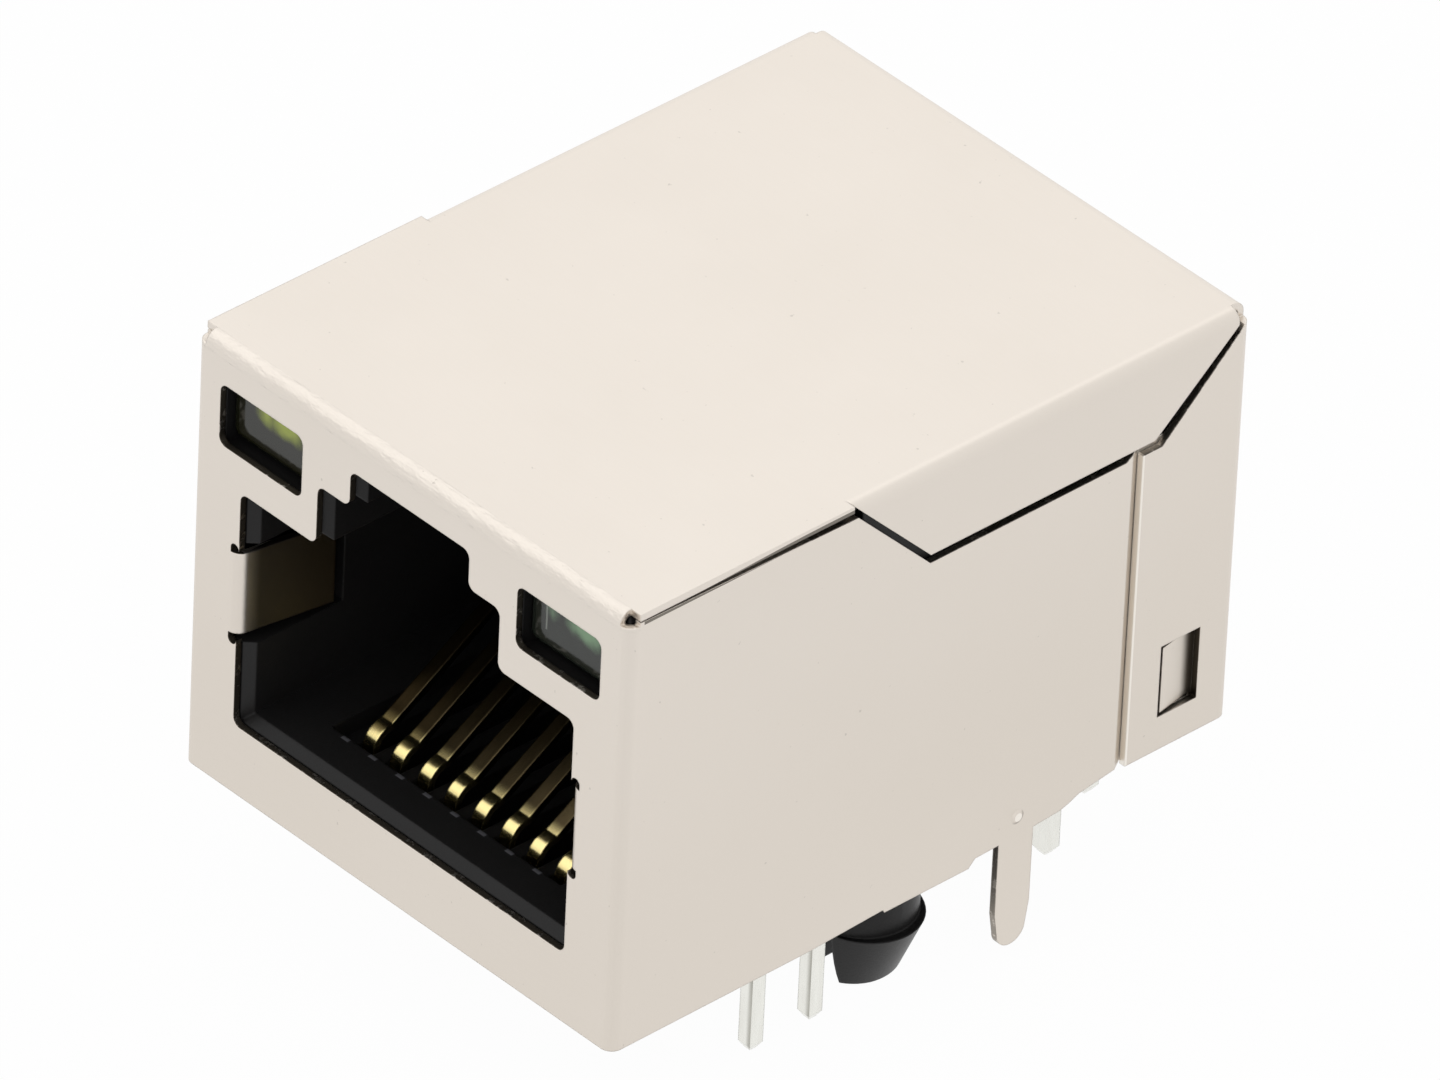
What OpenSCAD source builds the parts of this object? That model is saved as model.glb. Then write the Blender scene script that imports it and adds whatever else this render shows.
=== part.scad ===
// Shielded single-port modular jack, 8 contacts, with two status lamps,
// snap-in locating pegs and built-in magnetics, for through-hole boards.
// +Z is up from the board, the plug goes in from -Y, and the origin is on the
// board's top surface, midway between the two locating pegs.

/* [Shield] */
// Width over the shield's sides
body_w = 15.93; // [15.8:0.01:16.3]
// Height of the shield, from its lower edge to its top
body_h = 13.25; // [13.15:0.05:14]
// Depth from the front face to the rear panel
body_d = 20.9; // [20.7:0.1:22]
// Sheet thickness
sheet = 0.2; // [0.15:0.01:0.25]
// Outer radius of the folds
fold_r = 0.35; // [0.3:0.01:0.45]
// Gap between the board and the shield's lower edge
shield_gap = 0.6; // [0.4:0.05:0.8]
// Gap along the seam between the skirts and the side panels
seam_gap = 0.25; // [0.15:0.01:0.3]
// Distance from the front face to where the top's skirts begin
skirt_start = 7.45; // [7:0.05:8]
// How far the skirts hang down from the top
skirt_drop = 2.7; // [2.4:0.05:3]
// How far the rear flaps lap over the side panels
flap_len = 3.56; // [3.3:0.02:3.8]
// Height of the rear panel's lower edge above the front panel's
flap_lift = 0.68; // [0.5:0.02:0.9]
// Width of the window in each rear flap
catch_w = 1.35; // [1.1:0.05:1.5]
// Height of the window in each rear flap
catch_h = 2.2; // [1.8:0.05:2.6]

/* [Solder tabs] */
// Distance of the solder tabs behind the locating pegs
tab_offset = 3.05; // [2.9:0.01:3.2]
// Width of a solder tab
tab_w = 1.17; // [1:0.01:1.4]
// Reach of the solder tabs below the shield's lower edge
tab_len = 3.1; // [2.6:0.05:3.4]

/* [Port] */
// Width of the plug opening in the shield
port_w = 12.3; // [12.1:0.05:12.5]
// Height of the plug opening's lower edge above the shield's
port_sill = 2.08; // [1.9:0.02:2.2]
// Height of the wide part of the plug opening
port_h = 7.1; // [6.9:0.05:7.2]
// Width of the lower latch step
step_w = 6.72; // [6.4:0.02:7]
// Height of the lower latch step
step_h = 1.8; // [1.6:0.05:1.9]
// Width of the upper latch step
notch_w = 4.38; // [4.1:0.02:4.6]
// Height of the upper latch step
notch_h = 1.1; // [0.9:0.05:1.2]
// Radius of the opening's corners
corner_r = 0.25; // [0.15:0.01:0.3]
// Length of the spring fingers folded into the port
finger_len = 2.6; // [2.2:0.05:3]
// Height of a spring finger
finger_h = 2.45; // [2.2:0.05:2.7]
// Lean of the spring fingers into the port, in degrees
finger_lean = 9; // [6:1:12]
// Depth of the port, from the front face to its rear wall
port_depth = 11.4; // [11.2:0.05:11.7]

/* [Lamp windows] */
// Width of a lamp window
window_w = 3.06; // [2.8:0.02:3.2]
// Height of a lamp window
window_h = 1.84; // [1.6:0.02:1.9]
// Distance from the shield's side to the middle of a lamp window
window_span = 2.485; // [2.42:0.005:2.56]
// Sheet between a lamp window and the top of the shield
window_drop = 1.18; // [1.1:0.02:1.3]

/* [Housing] */
// Play between the housing and the shield's side panels
housing_play = 0.06; // [0.02:0.01:0.1]
// Thickness of the housing's end wall, behind the port
housing_end = 0.8; // [0.7:0.05:1]
// Wall by which the port's lining stands inside the shield's opening
lining = 0.24; // [0.15:0.01:0.3]
// Size of the lead-in chamfer round the port
lead_in = 0.26; // [0.15:0.01:0.35]
// Distance from the front face to the step where the contact slots begin
slot_start = 1.6; // [1.4:0.05:1.8]
// Depth of the tray that the contacts lie over, below the port's floor
trough_drop = 0.55; // [0.4:0.05:0.7]
// Width of a contact slot
slot_w = 0.6; // [0.5:0.02:0.7]

/* [Locating pegs] */
// Distance between the centres of the two pegs
peg_span = 11.43; // [11.2:0.01:11.6]
// Distance from the front face to the pegs
peg_y = 10.6; // [10.3:0.05:10.9]
// Radius of a peg's neck
peg_r = 1.46; // [1.3:0.01:1.5]
// How far the snap barb stands out beyond the neck
barb = 0.25; // [0.15:0.01:0.35]
// Depth of the barb's ledge below the board's top surface
barb_ledge = 1.1; // [1:0.05:1.3]
// Length of a peg below the board's top surface
peg_len = 2.85; // [2.7:0.05:3]
// Width of the slot that splits a peg
peg_slot = 0.9; // [0.7:0.05:1]

/* [Contacts] */
// Distance from one contact to the next
contact_pitch = 1.016; // [1:0.001:1.03]
// Width of a contact wire
contact_w = 0.4; // [0.34:0.01:0.44]
// Thickness of a contact wire
contact_t = 0.22; // [0.18:0.01:0.25]
// Slope of the contacts in the port, in degrees
contact_rise = 32; // [31:0.5:33]
// Radius of the curl at the front of a contact, at mid-thickness
curl_r = 0.55; // [0.45:0.01:0.65]
// Distance from the front face to the foremost point of the contacts
contact_front = 2.2; // [2.1:0.01:2.35]
// Height of the curl's centre above the shield's lower edge
curl_z = 1.7; // [1.6:0.01:1.8]

/* [Signal pins] */
// Distance from one signal pin to the next, across the jack
pin_pitch = 1.27; // [1.25:0.01:1.29]
// Distance of the front row of signal pins from the rear panel's outside
pin_row_1 = 3.95; // [3.8:0.01:4.1]
// Distance between the two rows of signal pins
pin_rows = 2.54; // [2.4:0.01:2.6]
// Side of a square signal pin
pin_w = 0.5; // [0.4:0.01:0.56]
// Reach of the signal pins and lamp leads below the board's top surface
pin_reach = 2.47; // [2.3:0.01:2.7]

/* [Lamps] */
// Distance from the front face to a lamp's front
lamp_front = 0.42; // [0.35:0.01:0.6]
// Length of a lamp body
lamp_len = 3.9; // [3.6:0.05:4.1]
// Height of a lamp body
lamp_h = 1.74; // [1.6:0.01:1.8]
// Side of a square lamp lead
lead_w = 0.44; // [0.38:0.01:0.48]
// Distance of the lamp leads in from the shield's side
lead_x = 0.965; // [0.92:0.005:1.01]
// Distance from the front face to the first lamp lead
lead_y = 5.72; // [5.6:0.01:5.8]
// Distance between the two leads of a lamp
lead_pitch = 2; // [1.94:0.01:2.06]

/* [Magnetics] */
// Thickness of the circuit board
pcb_t = 0.8; // [0.6:0.05:1]
// Height of the circuit board's underside above the shield's lower edge
pcb_z = 7.12; // [7.05:0.01:7.2]
// Outer diameter of a wound core
core_d = 2.75; // [2.5:0.05:2.75]
// Inner diameter of a wound core
core_bore = 1.1; // [0.9:0.05:1.3]
// Thickness of a wound core
core_t = 1.6; // [1.4:0.05:1.7]
// Length of the tray bay that holds the wound cores
bay_len = 1.9; // [1.8:0.05:2.1]
// Wall thickness of the magnetics tray
tray_wall = 0.8; // [0.6:0.05:1]
// Height of the tray's underside above the shield's lower edge
tray_lift = 0.95; // [0.8:0.05:1]

/* [Hidden] */
$fn = 32;
contact_count = 8;
pin_count = 10;
core_columns = 4;
names_per_side = 2;
eps = 0.01;

// Heights, from the board's top surface
z0 = shield_gap;
z_top = z0 + body_h;
z_ceiling = z_top - sheet;
z_sill = z0 + port_sill;
z_main = z_sill + port_h;
z_step = z_main + step_h;
z_notch = z_step + notch_h;
z_skirt = z_top - skirt_drop;
z_window = z_top - window_drop - window_h / 2;

window_x = body_w / 2 - window_span;

// The side panels, whose rear ends step inwards under the flaps
side_x = body_w / 2;
lap_gap = 0.02;
lap_step = sheet + lap_gap;
joggle_len = 0.36;
flap_y = body_d - flap_len;
joggle_y = flap_y - joggle_len;
lap_end = body_d - sheet - 0.25;
rear_rise = 0.75;

// The solder tabs and the relief cuts beside them
tab_y = peg_y + tab_offset;
sag_start = 4;
tab_notch = 0.8;
tab_notch_rise = 0.22;
tab_step = 1.1;
tab_tip_r = 0.48;
dimple_rise = 0.87;
dimple_r = 0.22;
dimple_h = 0.06;

// The rear flap's window and the lance that snaps into it
catch_inset = 2.52;
catch_y = body_d - catch_inset;
catch_z = z0 + 1.71;
lance_play = 0.1;

// The spring fingers in the port's sides
finger_rise = 2.7;
finger_z = z_sill + finger_rise;
finger_root = port_w / 2 + 0.3;
finger_relief = 0.15;

// The housing, which fills the shield's front
hx = side_x - sheet - housing_play;
front_play = 0.05;
hy = sheet + front_play;
lining_w = port_w - 2 * lining;
z_floor = z_sill + lining;
z_trough = z_floor - trough_drop;
z_slot = z_trough - 0.75;
z_roof = z_main - 0.05;
latch_wall = 1.7;
housing_back = port_depth + housing_end;
recess_inset = 3.2;
recess_h = 0.35;
lead_play = 0.04;
barb_lean = 24;
foot_inset = 1.6;
foot_front = lead_y + lead_pitch + lead_w / 2 + lead_play;
foot_len = 0.75;

// The contacts, which run from the port to the circuit board
pcb_top = z0 + pcb_z + pcb_t;
contact_z = pcb_top + contact_t / 2;
rear_bend_r = 0.6;
curl_y = contact_front + contact_t / 2 + curl_r;
rise_y = curl_y;
rise_z = z0 + curl_z + curl_r;
level_z = contact_z - rear_bend_r + rear_bend_r * cos(contact_rise);
level_y = rise_y + (level_z - rise_z) / tan(contact_rise);
bend_y = level_y + rear_bend_r * sin(contact_rise);
contact_tail = 1.1;
spring_room = 0.17667;
tail_room = 0.64;

// The magnetics tray behind the housing
tray_x = side_x - sheet - lap_step - 0.14;
tray_end = body_d - sheet - 0.1;
tray_floor = 0.5;
pin_wall = 0.4;
carrier_h = 1.9;
standoff_span = 5.2;
standoff_r = 0.7;
z_bay = z0 + tray_lift + tray_floor;
pin_y = [body_d - pin_row_1, body_d - pin_row_1 + pin_rows];
bay_y = pin_y[0] - pin_w / 2 - pin_wall - bay_len;

// The parts mounted on the circuit board
chip_len = 1.6;
chip_w = 0.8;
chip_h = 0.45;
cap_len = 4.5;
cap_h = 1.2;
cap_play = 0.27;

// Moves a piece measured from the front face to the row's own origin
module seated() {
    translate([0, -peg_y, 0])
        children();
}

// Extrusions of an outline drawn in the plane across each axis
module along_x(x_from, x_to) {
    translate([x_from, 0, 0])
        rotate([90, 0, 90])
            linear_extrude(x_to - x_from)
                children();
}

module along_y(y_from, y_to) {
    translate([0, y_to, 0])
        rotate([90, 0, 0])
            linear_extrude(y_to - y_from)
                children();
}

module along_z(z_from, z_to) {
    translate([0, 0, z_from])
        linear_extrude(z_to - z_from)
            children();
}

module both_sides() {
    children();
    mirror([1, 0, 0])
        children();
}

module box(low, high) {
    translate(low)
        cube(high - low);
}

// A rectangle centred on X, standing on y_from, with round corners
module round_rect_2d(w, y_from, y_to, r) {
    translate([-w / 2 + r, y_from])
        square([w - 2 * r, y_to - y_from]);
    translate([-w / 2, y_from + r])
        square([w, y_to - y_from - 2 * r]);
    for (sx = [-1, 1], y = [y_from + r, y_to - r])
        translate([sx * (w / 2 - r), y])
            circle(r);
}

// A piece of bent strip in its own plane, between two angles
module arc_band_2d(r, t, a_from, a_to) {
    reach = 2 * (r + t);
    a_mid = (a_from + a_to) / 2;
    intersection() {
        difference() {
            circle(r + t / 2);
            circle(r - t / 2);
        }
        polygon([
            [0, 0],
            reach * [cos(a_from), sin(a_from)],
            reach * [cos(a_mid), sin(a_mid)],
            reach * [cos(a_to), sin(a_to)]
        ]);
    }
}

// ---- Shield: one sheet, folded down at the rear and round both sides ----

// A flat web on the X axis with a leg folded up at each end
module channel_2d(w, leg) {
    difference() {
        channel_outline_2d(w, leg, fold_r);
        translate([0, sheet])
            channel_outline_2d(w - 2 * sheet, leg, fold_r - sheet);
    }
}

module channel_outline_2d(w, leg, r) {
    translate([-w / 2, r])
        square([w, leg - r]);
    translate([-w / 2 + r, 0])
        square([w - 2 * r, r + eps]);
    for (sx = [-1, 1])
        translate([sx * (w / 2 - r), r])
            circle(r);
}

// Front panel and side panels in plan, with the joggle under the rear flaps
module wrap_2d() {
    channel_2d(body_w, joggle_y);
    both_sides() {
        polygon([
            [side_x - sheet, joggle_y],
            [side_x, joggle_y],
            [side_x - lap_step, flap_y],
            [side_x - lap_step - sheet, flap_y]
        ]);
        translate([side_x - lap_step - sheet, flap_y])
            square([sheet, lap_end - flap_y]);
    }
}

// Edge of the side panels: level to the tab, raised behind it, and cut away
// on top where the skirts hang
module side_profile_2d() {
    tab_front = tab_y - tab_w / 2;
    tab_rear = tab_y + tab_w / 2;
    z_side = z_skirt - seam_gap;
    z_lap = z_skirt - seam_gap / 2;
    polygon([
        [-eps, z0],
        [peg_y - sag_start, z0],
        [peg_y - 1.45, z0 + 0.1],
        [peg_y - 1.4, z0],
        [tab_front - tab_notch - tab_notch_rise, z0],
        [tab_front - tab_notch, z0 + tab_notch_rise],
        [tab_rear, z0 + tab_notch_rise + 0.06],
        [tab_rear + tab_step - 0.2, z0 + 0.34],
        [tab_rear + tab_step + 0.1, z0 + 0.43],
        [tab_rear + tab_step + 0.45, z0 + 0.58],
        [tab_rear + tab_step + 0.85, z0 + 0.64],
        [tab_rear + tab_step + 1.6, z0 + rear_rise],
        [body_d, z0 + rear_rise],
        [body_d, z_lap],
        [flap_y + 0.2, z_lap],
        [flap_y - 0.1, z_skirt - 0.03],
        [flap_y - 0.24, z_skirt - 0.03],
        [flap_y - 0.56, z_side],
        [skirt_start + skirt_drop, z_side],
        [skirt_start + sheet - 0.2 * seam_gap, z_ceiling - 0.8 * seam_gap],
        [skirt_start, z_ceiling - 0.8 * seam_gap],
        [fold_r + 0.03, z_ceiling - 0.05],
        [fold_r + 0.03, z_top - fold_r],
        [-eps, z_top - fold_r]
    ]);
}

// Top panel with its front and rear folds
module cover_2d() {
    difference() {
        translate([body_d / 2, z_top])
            mirror([0, 1])
                channel_2d(body_d, z_top - z0 - flap_lift);
        translate([-eps, 0])
            square([fold_r, z_top - 3 * fold_r]);
    }
}

module skirt_profile_2d() {
    polygon([
        [skirt_start, z_top + eps],
        [skirt_start, z_top],
        [skirt_start + skirt_drop, z_skirt],
        [flap_y + 0.39, z_skirt],
        [body_d - fold_r - 0.1, z_top - fold_r - 0.05],
        [body_d - fold_r - 0.1, z_top + eps]
    ]);
}

module flap_profile_2d() {
    polygon([
        [flap_y, z0 + flap_lift],
        [flap_y, z_skirt - 1.2 * seam_gap],
        [flap_y + 0.66, z_skirt - 1.2 * seam_gap],
        [body_d - 0.24, z_top - 0.49],
        [body_d + eps, z_top - 0.49],
        [body_d + eps, z0 + flap_lift]
    ]);
}

// Plug opening with its two latch steps, and the sheet's corners rounded
module port_2d() {
    round_rect_2d(port_w, z_sill, z_main, corner_r);
    round_rect_2d(step_w, z_sill + corner_r, z_step, corner_r);
    round_rect_2d(notch_w, z_sill + corner_r, z_notch, corner_r);
    both_sides() {
        sheet_corner_2d(step_w / 2, z_main);
        sheet_corner_2d(notch_w / 2, z_step);
    }
}

module sheet_corner_2d(x, y) {
    translate([x - eps, y - eps])
        difference() {
            square(corner_r + eps);
            translate([corner_r + eps, corner_r + eps])
                circle(corner_r);
        }
}

module lamp_window_2d() {
    translate([window_x, 0])
        round_rect_2d(window_w, z_window - window_h / 2, z_window + window_h / 2, corner_r);
}

// Cut in the front panel from which a spring finger is folded
module finger_cut_2d() {
    translate([port_w / 2 - eps, finger_z - finger_relief])
        square([finger_root - port_w / 2 + eps, finger_h + 2 * finger_relief]);
    for (z = [finger_z - finger_relief, finger_z + finger_h + finger_relief])
        translate([port_w / 2 + finger_relief, z])
            circle(finger_relief);
}

module finger_2d() {
    translate([finger_root, fold_r]) {
        arc_band_2d(fold_r - sheet / 2, sheet, 180 + finger_lean, 270);
        rotate(finger_lean)
            translate([-fold_r, 0])
                square([sheet, finger_len]);
    }
}

module lance_2d() {
    root = catch_y + catch_w - lance_play;
    tip = catch_y + lance_play;
    polygon([
        [side_x - lap_step - sheet, root + eps],
        [side_x - lap_step, root + eps],
        [side_x - lap_gap, tip],
        [side_x - lap_gap - sheet, tip]
    ]);
}

// A tab that narrows to a round tip, with a small dimple above it
module solder_tab() {
    taper = 0.65;
    z_tip = z0 - tab_len + tab_tip_r;
    along_x(side_x - sheet, side_x)
        translate([tab_y, 0]) {
            polygon([
                [-tab_w / 2, z0 + 1],
                [-tab_w / 2, z_tip + taper],
                [-tab_tip_r + 0.01, z_tip - 0.06],
                [tab_tip_r - 0.01, z_tip - 0.06],
                [tab_w / 2, z_tip + taper],
                [tab_w / 2, z0 + 1]
            ]);
            translate([0, z_tip])
                circle(tab_tip_r);
        }
    translate([side_x - eps, tab_y, z0 + dimple_rise])
        rotate([0, 90, 0])
            cylinder(h = dimple_h, r1 = dimple_r, r2 = dimple_r - 0.08);
}

module shield() {
    color("#d9d1c4")
        seated() {
            difference() {
                union() {
                    intersection() {
                        along_z(z0 - eps, z_top)
                            wrap_2d();
                        along_x(-body_w, body_w)
                            side_profile_2d();
                    }
                    along_x(-side_x + fold_r, side_x - fold_r)
                        cover_2d();
                    box([-side_x, fold_r + 0.02, z_ceiling], [side_x, skirt_start, z_top]);
                    intersection() {
                        along_y(skirt_start, body_d - fold_r)
                            translate([0, z_top])
                                mirror([0, 1])
                                    channel_2d(body_w, skirt_drop);
                        along_x(-body_w, body_w)
                            skirt_profile_2d();
                    }
                    intersection() {
                        along_z(z0, z_top)
                            translate([0, body_d])
                                mirror([0, 1])
                                    channel_2d(body_w, flap_len);
                        along_x(-body_w, body_w)
                            flap_profile_2d();
                    }
                }
                along_y(-1, fold_r) {
                    port_2d();
                    both_sides() {
                        lamp_window_2d();
                        finger_cut_2d();
                    }
                }
                both_sides() {
                    box(
                        [side_x - sheet - lap_gap / 2, catch_y, catch_z],
                        [side_x + 1, catch_y + catch_w, catch_z + catch_h]
                    );
                    box(
                        [side_x - 1, catch_y, catch_z],
                        [side_x - sheet - lap_gap / 2, catch_y + catch_w - lance_play, catch_z + catch_h]
                    );
                }
            }
            both_sides() {
                along_z(finger_z, finger_z + finger_h)
                    finger_2d();
                along_z(catch_z + lance_play, catch_z + catch_h - lance_play)
                    lance_2d();
                solder_tab();
            }
        }
}

// ---- Housing: one moulding with the port, lamp pockets, feet and pegs ----

// A lead-in funnel round one rectangular stretch of the port
module funnel(w, z_low, z_high) {
    y_end = hy + lead_in;
    intersection() {
        along_z(z_low - lead_in, z_high + lead_in)
            polygon([
                [-w / 2 - lead_in, hy - eps],
                [w / 2 + lead_in, hy - eps],
                [w / 2, y_end],
                [-w / 2, y_end]
            ]);
        along_x(-w, w)
            polygon([
                [hy - eps, z_low - lead_in],
                [hy - eps, z_high + lead_in],
                [y_end, z_high],
                [y_end, z_low]
            ]);
    }
}

module port_void() {
    step_x = step_w / 2 - lining / 2;
    notch_x = notch_w / 2 - lining / 2;
    z_step_roof = z_step - 0.05;
    z_notch_roof = z_notch - 0.05;
    box([-lining_w / 2, hy - eps, z_floor], [lining_w / 2, port_depth, z_roof]);
    box([-step_x, hy - eps, z_floor], [step_x, port_depth, z_step_roof]);
    box([-notch_x, hy - eps, z_floor], [notch_x, latch_wall + eps, z_notch_roof]);
    box([-step_x, latch_wall, z_floor], [step_x, port_depth - 1.5, z_notch_roof]);
    funnel(lining_w, z_floor, z_roof);
    funnel(2 * step_x, z_floor, z_step_roof);
    funnel(2 * notch_x, z_floor, z_notch_roof);
}

// Tray under the contacts, and a slot for each one through floor and rear wall
module contact_slots() {
    trough_x = contact_pitch * contact_count / 2 + 0.2;
    box([-trough_x, slot_start, z_trough], [trough_x, port_depth, z_floor + eps]);
    for (i = [1:contact_count])
        translate([contact_x(i), 0, 0]) {
            box([-slot_w / 2, slot_start, z_slot], [slot_w / 2, port_depth, z_floor]);
            box(
                [-slot_w / 2, port_depth - eps, contact_under(port_depth) - spring_room],
                [slot_w / 2, housing_back + eps, pcb_top + contact_t + tail_room]
            );
        }
}

// Recess behind each spring finger, so that it can give
module finger_pocket() {
    box(
        [lining_w / 2 - eps, hy - eps, finger_z - 0.3],
        [finger_root + 0.12, hy + finger_len + 0.5, finger_z + finger_h + 0.3]
    );
}

// Pocket and lead channels of the lamp on the right
module lamp_pocket() {
    channel = lead_w + 2 * lead_play;
    top = z_ceiling + eps;
    box(
        [window_x - window_w / 2 - lead_play, hy - eps, lamp_z - 0.25],
        [window_x + window_w / 2 + lead_play, lamp_front + lamp_len + lead_play, top]
    );
    for (k = [1:names_per_side]) {
        x = lamp_lead_x(k) - channel / 2;
        y = lamp_lead_y(k) - channel / 2;
        z = lead_z - lead_w / 2;
        box([x, lamp_front, z], [x + channel, y + channel, top]);
        box([x, y, z], [side_x, y + channel, top]);
        box([lead_line - lead_w / 2, y, -eps], [side_x, y + channel, top]);
    }
}

// A split peg: a round neck over two halves, the outer one leaning as a barb
module peg() {
    reach = 2 * peg_r;
    lean_r = peg_r + 0.04;
    difference() {
        union() {
            translate([0, 0, -barb_ledge - eps])
                cylinder(h = z0 + barb_ledge + 2 * eps, r = peg_r);
            intersection() {
                rotate_extrude()
                    peg_end_2d(0);
                box([-reach, -reach, 0.2 - peg_len], [0, reach, -barb_ledge]);
            }
            intersection() {
                rotate_extrude()
                    peg_end_2d(barb);
                translate([peg_r + barb, 0, -barb_ledge])
                    rotate([0, barb_lean, 0])
                        translate([-lean_r, 0, -2 * peg_len])
                            cylinder(h = 4 * peg_len, r = lean_r);
                box([peg_slot / 2 - eps, -reach, -peg_len], [reach, reach, -barb_ledge]);
            }
        }
        box([-peg_slot / 2, -reach, -peg_len - eps], [peg_slot / 2, reach, -0.3]);
    }
}

module peg_end_2d(out) {
    polygon([
        [0, -barb_ledge],
        [peg_r + out + 0.02, -barb_ledge],
        [peg_r + 0.03, -barb_ledge - 0.7],
        [peg_r + 0.03, -peg_len + 0.6],
        [peg_r - 0.03, -peg_len + 0.35],
        [peg_r - 0.14, -peg_len + 0.18],
        [peg_r - 0.3, -peg_len + 0.06],
        [peg_r - 0.5, -peg_len],
        [0, -peg_len]
    ]);
}

// Block with its upper edges bevelled to clear the insides of the folds
module housing_block() {
    intersection() {
        along_y(hy, housing_back)
            bevelled_2d(-hx, hx);
        along_x(-hx, hx)
            bevelled_2d(hy, housing_back);
    }
}

module bevelled_2d(x_from, x_to) {
    bevel = fold_r - sheet;
    polygon([
        [x_from, z0],
        [x_to, z0],
        [x_to, z_ceiling - bevel],
        [x_to - bevel, z_ceiling],
        [x_from + bevel, z_ceiling],
        [x_from, z_ceiling - bevel]
    ]);
}

module housing() {
    color("#2b2a2b")
        seated() {
            difference() {
                union() {
                    housing_block();
                    both_sides()
                        box([peg_span / 2 - peg_r, foot_front, 0], [side_x - foot_inset, foot_front + foot_len, z0 + eps]);
                }
                port_void();
                contact_slots();
                both_sides() {
                    finger_pocket();
                    lamp_pocket();
                }
                box(
                    [-hx + recess_inset, slot_start, z0 - eps],
                    [hx - recess_inset, peg_y - recess_inset, z0 + recess_h]
                );
            }
            both_sides()
                translate([peg_span / 2, peg_y, 0])
                    peg();
        }
}

// ---- Contacts, their carrier and the circuit board ----

function contact_x(i) = (i - (contact_count + 1) / 2) * contact_pitch;

// Height of a contact's underside at the distance y behind the front face: it
// slopes up to the bend and runs level from there
function spring_under(y) = rise_z + (y - rise_y) * tan(contact_rise) - contact_t / 2 / cos(contact_rise);
function contact_under(y) = min(spring_under(y), pcb_top);

// Side view of a contact: curl, sloping spring and level tail
module contact_2d() {
    spring = norm([level_y - rise_y, level_z - rise_z]);
    translate([contact_front, z_slot + 0.15])
        square([contact_t, z0 + curl_z - z_slot - 0.15 + eps]);
    translate([curl_y, z0 + curl_z])
        arc_band_2d(curl_r, contact_t, 90, 180);
    translate([rise_y, rise_z])
        circle(contact_t / 2);
    translate([rise_y, rise_z])
        rotate(contact_rise)
            translate([-eps, -contact_t / 2])
                square([spring + 2 * eps, contact_t]);
    translate([bend_y, contact_z - rear_bend_r])
        arc_band_2d(rear_bend_r, contact_t, 90, 90 + contact_rise);
    translate([bend_y - eps, pcb_top])
        square([bay_y + contact_tail - bend_y + eps, contact_t]);
}

module contact(i) {
    color("#d8b860")
        seated()
            along_x(contact_x(i) - contact_w / 2, contact_x(i) + contact_w / 2)
                contact_2d();
}

// Bar moulded round the contacts, which keeps them at their pitch
module contact_carrier() {
    bar_x = contact_pitch * contact_count / 2 + 1;
    color("#242424")
        seated()
            difference() {
                box([-bar_x, housing_back, z0 + pcb_z], [bar_x, bay_y, z0 + pcb_z + carrier_h]);
                for (i = [1:contact_count])
                    along_x(contact_x(i) - contact_w / 2, contact_x(i) + contact_w / 2)
                        contact_2d();
            }
}

module circuit_board() {
    color("#1f5a38")
        seated()
            difference() {
                box([-tray_x + 0.5, bay_y, z0 + pcb_z], [tray_x - 0.5, tray_end, pcb_top]);
                pin_holes(z0, z_top);
            }
}

// ---- Signal pins and the tray that holds them ----

function pin_x(i) = (i - (pin_count + 1) / 2) * pin_pitch;
function pin_row(i) = pin_y[i % 2];

module pin_shaft(i, z_from, z_to) {
    translate([pin_x(i), pin_row(i), 0])
        box([-pin_w / 2, -pin_w / 2, z_from], [pin_w / 2, pin_w / 2, z_to]);
}

module pin_holes(z_from, z_to) {
    for (i = [1:pin_count])
        pin_shaft(i, z_from, z_to);
}

// A pin with a pyramid-cut tip
module signal_pin(i) {
    tip = 0.2;
    color("#e2e0d2")
        seated() {
            pin_shaft(i, tip - pin_reach, pcb_top + 0.5);
            translate([pin_x(i), pin_row(i), 0])
                intersection() {
                    along_x(-pin_w / 2, pin_w / 2)
                        pin_tip_2d(tip);
                    along_y(-pin_w / 2, pin_w / 2)
                        pin_tip_2d(tip);
                }
        }
}

module pin_tip_2d(tip) {
    polygon([
        [-pin_w / 2, tip - pin_reach + eps],
        [-pin_w / 2, tip - pin_reach],
        [-pin_w / 2 + 0.13, -pin_reach],
        [pin_w / 2 - 0.13, -pin_reach],
        [pin_w / 2, tip - pin_reach],
        [pin_w / 2, tip - pin_reach + eps]
    ]);
}

// Open bay for the wound cores, a block for the pins, and feet on the board
module magnetics_tray() {
    z_deck = z0 + pcb_z;
    bay_x = tray_x - tray_wall;
    color("#242424")
        seated()
            difference() {
                union() {
                    box([-tray_x, housing_back, z0 + tray_lift], [tray_x, tray_end, z_deck]);
                    for (sx = [-1, 1])
                        translate([sx * standoff_span / 2, pin_y[0] + pin_rows / 2, 0])
                            cylinder(h = z0 + tray_lift + eps, r = standoff_r);
                }
                box([-bay_x, bay_y, z_bay], [bay_x, bay_y + bay_len, z_deck + eps]);
                pin_holes(z0 - 1, z_deck + 1);
            }
}

// ---- Lamps and their leads ----

lamp_z = z_top - window_drop - lamp_h;
lead_z = lamp_z + lamp_h / 2;
lead_line = side_x - lead_x;

function lamp_lead_x(k) = window_x + (k == 1 ? 1 : -1) * window_w / 4;
function lamp_lead_y(k) = lead_y + (k - 1) * lead_pitch;

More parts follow.
